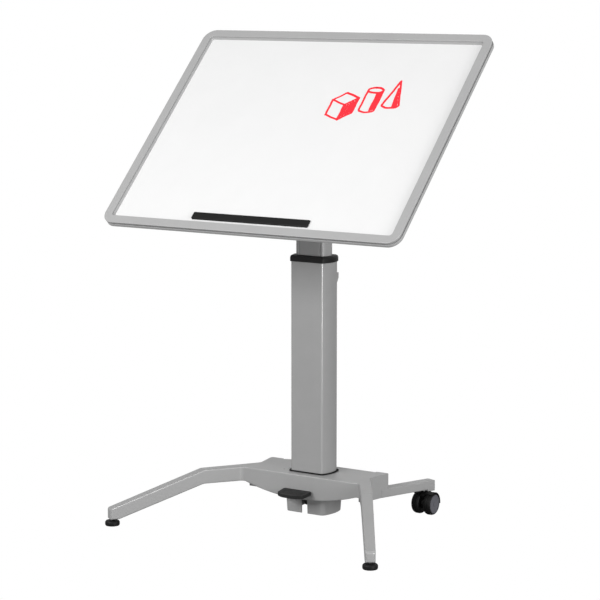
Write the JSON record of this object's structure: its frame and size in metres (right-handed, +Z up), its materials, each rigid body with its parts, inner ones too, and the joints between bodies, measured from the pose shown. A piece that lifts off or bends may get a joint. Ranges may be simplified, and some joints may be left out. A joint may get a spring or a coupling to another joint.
{
  "type": "height-adjustable tilting whiteboard table",
  "caption": "Framed marker board on a tilt head, gas-lift telescopic column with foot pedal, and a low base with levelling feet in front and twin-wheel casters behind.",
  "frame": {"origin": "on the floor, centred under the part's bounding box; the column axis is 76 mm behind it", "axes": "+Z up, +X to the user's right, the user stands on the -Y side, so the board slopes up towards +Y"},
  "size_m": [0.914, 0.6232, 1.3057],
  "materials": {
    "base_paint": "satin powder coat on cast aluminium",
    "column_paint": "satin powder coat on steel tube",
    "ballast_steel": "black paint",
    "bolt_steel": "zinc plated",
    "shaft_steel": "ground steel",
    "black_rubber": "matt",
    "black_plastic": "fine texture",
    "guide_plastic": "smooth acetal",
    "black_paint": "black powder coat",
    "pedal_rubber": "moulded tread",
    "bush_bronze": "sintered",
    "marker_surface": "glossy dry-wipe laminate",
    "core_wood": "particle board",
    "back_laminate": "smooth laminate",
    "frame_plastic": "satin moulding",
    "wheel_plastic": "moulded nylon",
    "tyre_black": "soft tread"
  },
  "bodies": {
    "base": {"base_casting": "base_paint", "ballast_left": "ballast_steel", "ballast_right": "ballast_steel", "ballast_bolts": "bolt_steel", "column_gasket": "black_rubber", "outer_tube": "column_paint", "column_foot": "bolt_steel", "column_bolts": "bolt_steel", "collar": "black_plastic", "upper_guide": "guide_plastic", "cable_clip": "column_paint", "pedal_housing": "base_paint", "housing_screws": "bolt_steel", "pedal_pin": "shaft_steel", "gas_rod": "shaft_steel", "gas_piston": "guide_plastic", "caster_sockets": "black_plastic"},
    "lift": {"inner_tube": "column_paint", "lower_guide": "guide_plastic", "tilt_yoke": "black_paint", "yoke_screws": "bolt_steel", "gas_cylinder": "black_paint", "gas_gland": "bush_bronze", "tilt_shaft": "shaft_steel", "friction_washers": "guide_plastic", "shaft_nut": "bolt_steel"},
    "board": {"writing_sheet": "marker_surface", "board_core": "core_wood", "back_sheet": "back_laminate", "board_frame": "frame_plastic", "pen_ledge": "black_plastic", "mounting_plate": "black_paint", "plate_screws": "bolt_steel", "tilt_bracket": "black_paint", "bracket_screws": "bolt_steel", "tilt_bushes": "bush_bronze"},
    "lever": {"tilt_lever": "black_paint", "lever_grip": "black_plastic"},
    "pedal": {"pedal_arm": "black_paint", "pedal_pad": "pedal_rubber"},
    "release": {"release_pin": "shaft_steel"},
    "glide_left": {"glide_left": "black_plastic", "glide_stem_left": "shaft_steel"},
    "glide_right": {"glide_right": "black_plastic", "glide_stem_right": "shaft_steel"},
    "caster_left": {"caster_body_left": "black_plastic", "caster_stem_left": "shaft_steel", "caster_axle_left": "shaft_steel"},
    "caster_right": {"caster_body_right": "black_plastic", "caster_stem_right": "shaft_steel", "caster_axle_right": "shaft_steel"},
    "wheel_left_outer": {"wheel_left_outer": "wheel_plastic", "tyre_left_outer": "tyre_black"},
    "wheel_left_inner": {"wheel_left_inner": "wheel_plastic", "tyre_left_inner": "tyre_black"},
    "wheel_right_outer": {"wheel_right_outer": "wheel_plastic", "tyre_right_outer": "tyre_black"},
    "wheel_right_inner": {"wheel_right_inner": "wheel_plastic", "tyre_right_inner": "tyre_black"}
  },
  "joints": [
    {"name": "column_lift", "type": "slide", "parent": "base", "child": "lift", "axis": [0, 0, 1], "range_m": [-0.265, 0.115], "stiffness_N_per_m": 135.5, "springref_m": 1},
    {"name": "board_tilt", "type": "hinge", "parent": "lift", "child": "board", "pos_m": [0, 0.0756, 1.0456], "axis": [1, 0, 0], "range_deg": [-45, 45]},
    {"name": "lever_release", "type": "hinge", "parent": "lift", "child": "lever", "pos_m": [0, 0.0756, 1.0456], "axis": [1, 0, 0], "range_deg": [-35, 0], "stiffness_Nm_per_rad": 3},
    {"name": "pedal_press", "type": "hinge", "parent": "base", "child": "pedal", "pos_m": [0, 0.0506, 0.05], "axis": [1, 0, 0], "range_deg": [0, 10], "stiffness_Nm_per_rad": 4, "springref_deg": -17.19},
    {"name": "release_pin_slide", "type": "slide", "parent": "base", "child": "release", "axis": [0, 0, 1], "range_m": [0, 0.0047]},
    {"name": "glide_left_height", "type": "slide", "parent": "base", "child": "glide_left", "axis": [0, 0, -1], "range_m": [0, 0.01]},
    {"name": "glide_right_height", "type": "slide", "parent": "base", "child": "glide_right", "axis": [0, 0, -1], "range_m": [0, 0.01]},
    {"name": "caster_left_swivel", "type": "hinge", "parent": "base", "child": "caster_left", "pos_m": [-0.231, 0.2941, 0.063], "axis": [0, 0, 1], "continuous": true},
    {"name": "wheel_left_outer_spin", "type": "hinge", "parent": "caster_left", "child": "wheel_left_outer", "pos_m": [-0.231, 0.2791, 0.03025], "axis": [1, 0, 0], "continuous": true},
    {"name": "wheel_left_inner_spin", "type": "hinge", "parent": "caster_left", "child": "wheel_left_inner", "pos_m": [-0.231, 0.2791, 0.03025], "axis": [1, 0, 0], "continuous": true},
    {"name": "caster_right_swivel", "type": "hinge", "parent": "base", "child": "caster_right", "pos_m": [0.231, 0.2941, 0.063], "axis": [0, 0, 1], "continuous": true},
    {"name": "wheel_right_outer_spin", "type": "hinge", "parent": "caster_right", "child": "wheel_right_outer", "pos_m": [0.231, 0.2791, 0.03025], "axis": [1, 0, 0], "continuous": true},
    {"name": "wheel_right_inner_spin", "type": "hinge", "parent": "caster_right", "child": "wheel_right_inner", "pos_m": [0.231, 0.2791, 0.03025], "axis": [1, 0, 0], "continuous": true}
  ],
  "couplings": [
    {"joint": "release_pin_slide", "follows": "pedal_press", "m_per_rad": 0.0265}
  ]
}
